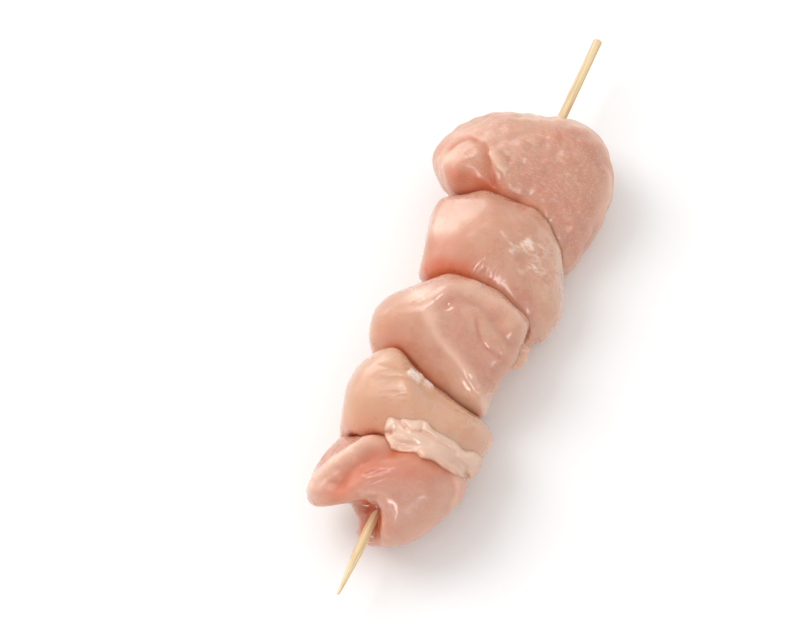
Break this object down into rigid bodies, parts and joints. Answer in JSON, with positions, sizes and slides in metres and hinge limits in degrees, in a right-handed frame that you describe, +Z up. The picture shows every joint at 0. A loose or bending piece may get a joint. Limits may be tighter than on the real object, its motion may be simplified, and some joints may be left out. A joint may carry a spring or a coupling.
{
  "type": "raw turkey skewer",
  "caption": "Raw turkey skewer: chunks of pale pink poultry meat pushed close together on a thin pointed wooden stick, lying flat.",
  "frame": {"origin": "on the ground, under the middle of the whole skewer", "axes": "+X along the stick from its sharp point to its blunt end, +Z up; the skewer lies on the ground plane"},
  "size_m": [0.18, 0.0496, 0.0334],
  "materials": {
    "turkey_meat": "raw poultry meat, wet and slightly translucent",
    "stick_wood": "pale dry wood, sanded"
  },
  "bodies": {
    "root": {"stick": "stick_wood", "turkey_piece_1": "turkey_meat", "turkey_piece_2": "turkey_meat", "turkey_piece_3": "turkey_meat", "turkey_piece_4": "turkey_meat", "turkey_piece_5": "turkey_meat"}
  },
  "joints": []
}
